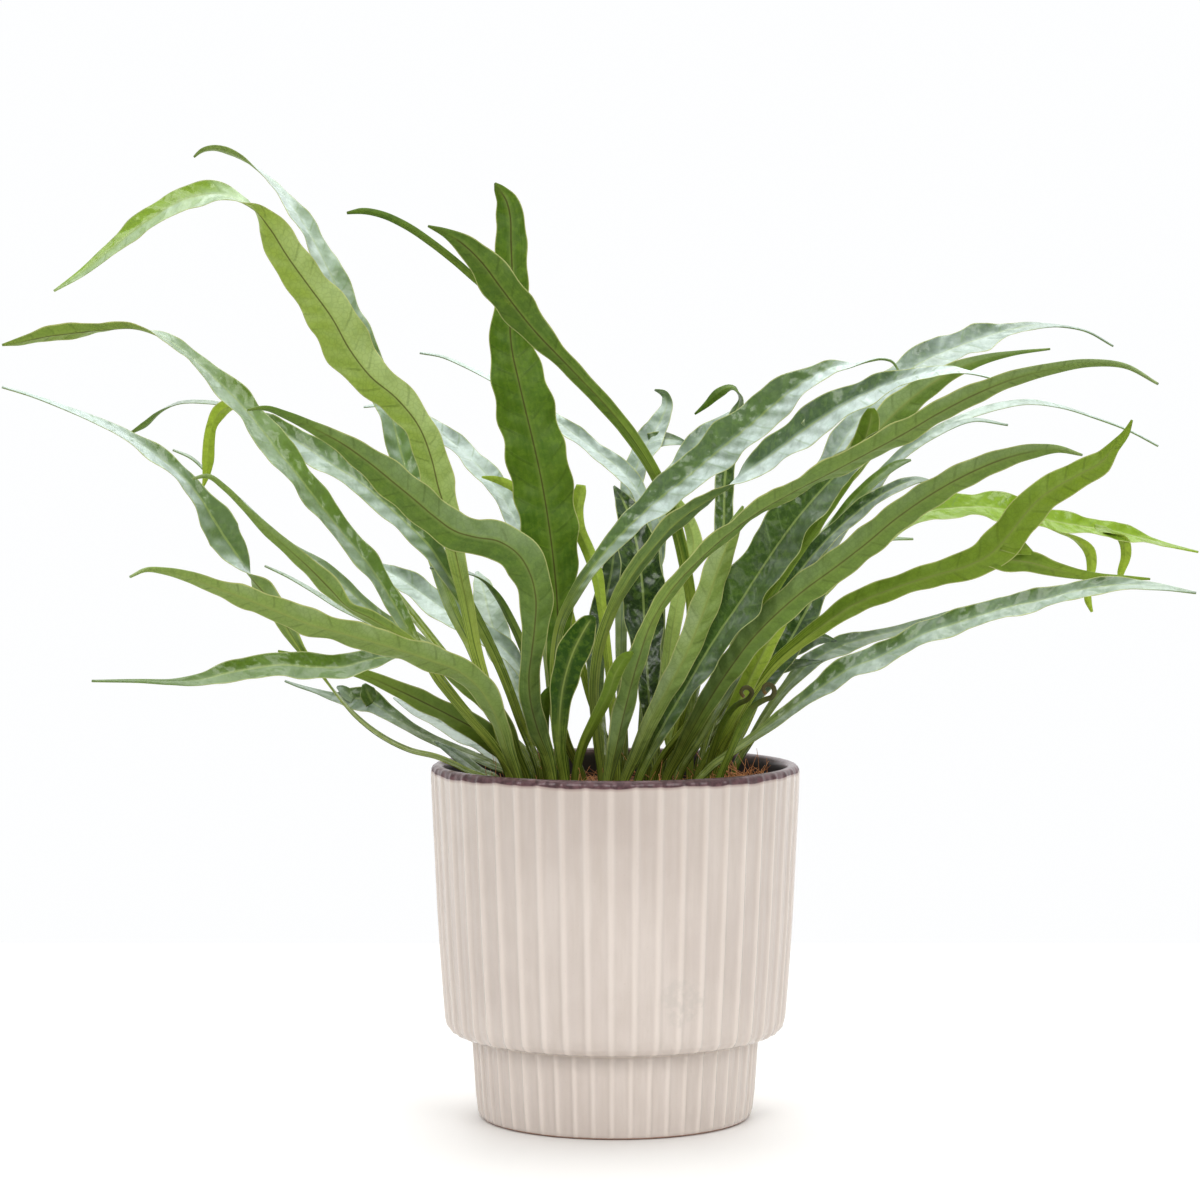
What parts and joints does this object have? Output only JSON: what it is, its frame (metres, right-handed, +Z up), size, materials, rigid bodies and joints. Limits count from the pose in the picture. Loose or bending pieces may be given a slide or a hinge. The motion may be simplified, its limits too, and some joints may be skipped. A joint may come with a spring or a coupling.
{
  "type": "potted fern",
  "caption": "Leafy fern with long waved, partly forked strap fronds rising from coir mix in a ribbed glazed pot on a narrow stepped foot.",
  "frame": {"origin": "middle of the pot's flat underside, at floor level", "axes": "+Z up along the pot's axis, +X to the right and -Y towards the viewer in the picture"},
  "size_m": [0.4583, 0.309, 0.3707],
  "materials": {
    "glazed_ceramic": "glossy glaze",
    "coir": "rough fibres",
    "frond_upper": "glossy",
    "frond_under": "matte",
    "frond_young": "satin"
  },
  "bodies": {
    "root": {"frond_back_fern_curl": "frond_under", "frond_behind_upright": "frond_upper", "frond_blue_back": "frond_upper", "frond_bright_arch": "frond_under", "frond_bright_behind": "frond_upper", "frond_bright_fork": "frond_under", "frond_broad_dark": "frond_upper", "frond_bubbled": "frond_upper", "frond_dark_elbow": "frond_upper", "frond_dark_lobed": "frond_upper", "frond_dark_long": "frond_upper", "frond_faint_back": "frond_upper", "frond_far_curl": "frond_upper", "frond_far_left": "frond_upper", "frond_folded_back": "frond_upper", "frond_fork_arch": "frond_under", "frond_fork_back": "frond_upper", "frond_front_rise": "frond_under", "frond_green_tip": "frond_upper", "frond_grey_back": "frond_upper", "frond_grey_cap": "frond_upper", "frond_hanging_tip": "frond_young", "frond_left_shadow": "frond_upper", "frond_light_wing": "frond_under", "frond_long_olive": "frond_under", "frond_low_back": "frond_upper", "frond_low_lobe": "frond_upper", "frond_low_olive": "frond_under", "frond_low_silver": "frond_upper", "frond_low_thread": "frond_upper", "frond_low_twist": "frond_under", "frond_low_yellow": "frond_under", "frond_lowest": "frond_upper", "frond_mid_silver": "frond_upper", "frond_near_fern_curl": "frond_under", "frond_olive_wing": "frond_under", "frond_pale_finger": "frond_upper", "frond_pale_strand": "frond_under", "frond_pale_tongue": "frond_upper", "frond_rim_small": "frond_upper", "frond_round_back": "frond_upper", "frond_round_tip": "frond_under", "frond_side_sway": "frond_under", "frond_silver_arch": "frond_upper", "frond_silver_band": "frond_upper", "frond_silver_blade": "frond_upper", "frond_thin_pair": "frond_under", "frond_thread_tip": "frond_upper", "frond_top_silver": "frond_upper", "frond_twisted_fork": "frond_upper", "frond_upright": "frond_under", "frond_yellow_slip": "frond_young", "frond_young_back": "frond_young", "frond_young_blade": "frond_under", "frond_young_left": "frond_under", "frond_young_right": "frond_under", "frond_young_strap": "frond_young", "pot": "glazed_ceramic", "soil": "coir"}
  },
  "joints": []
}
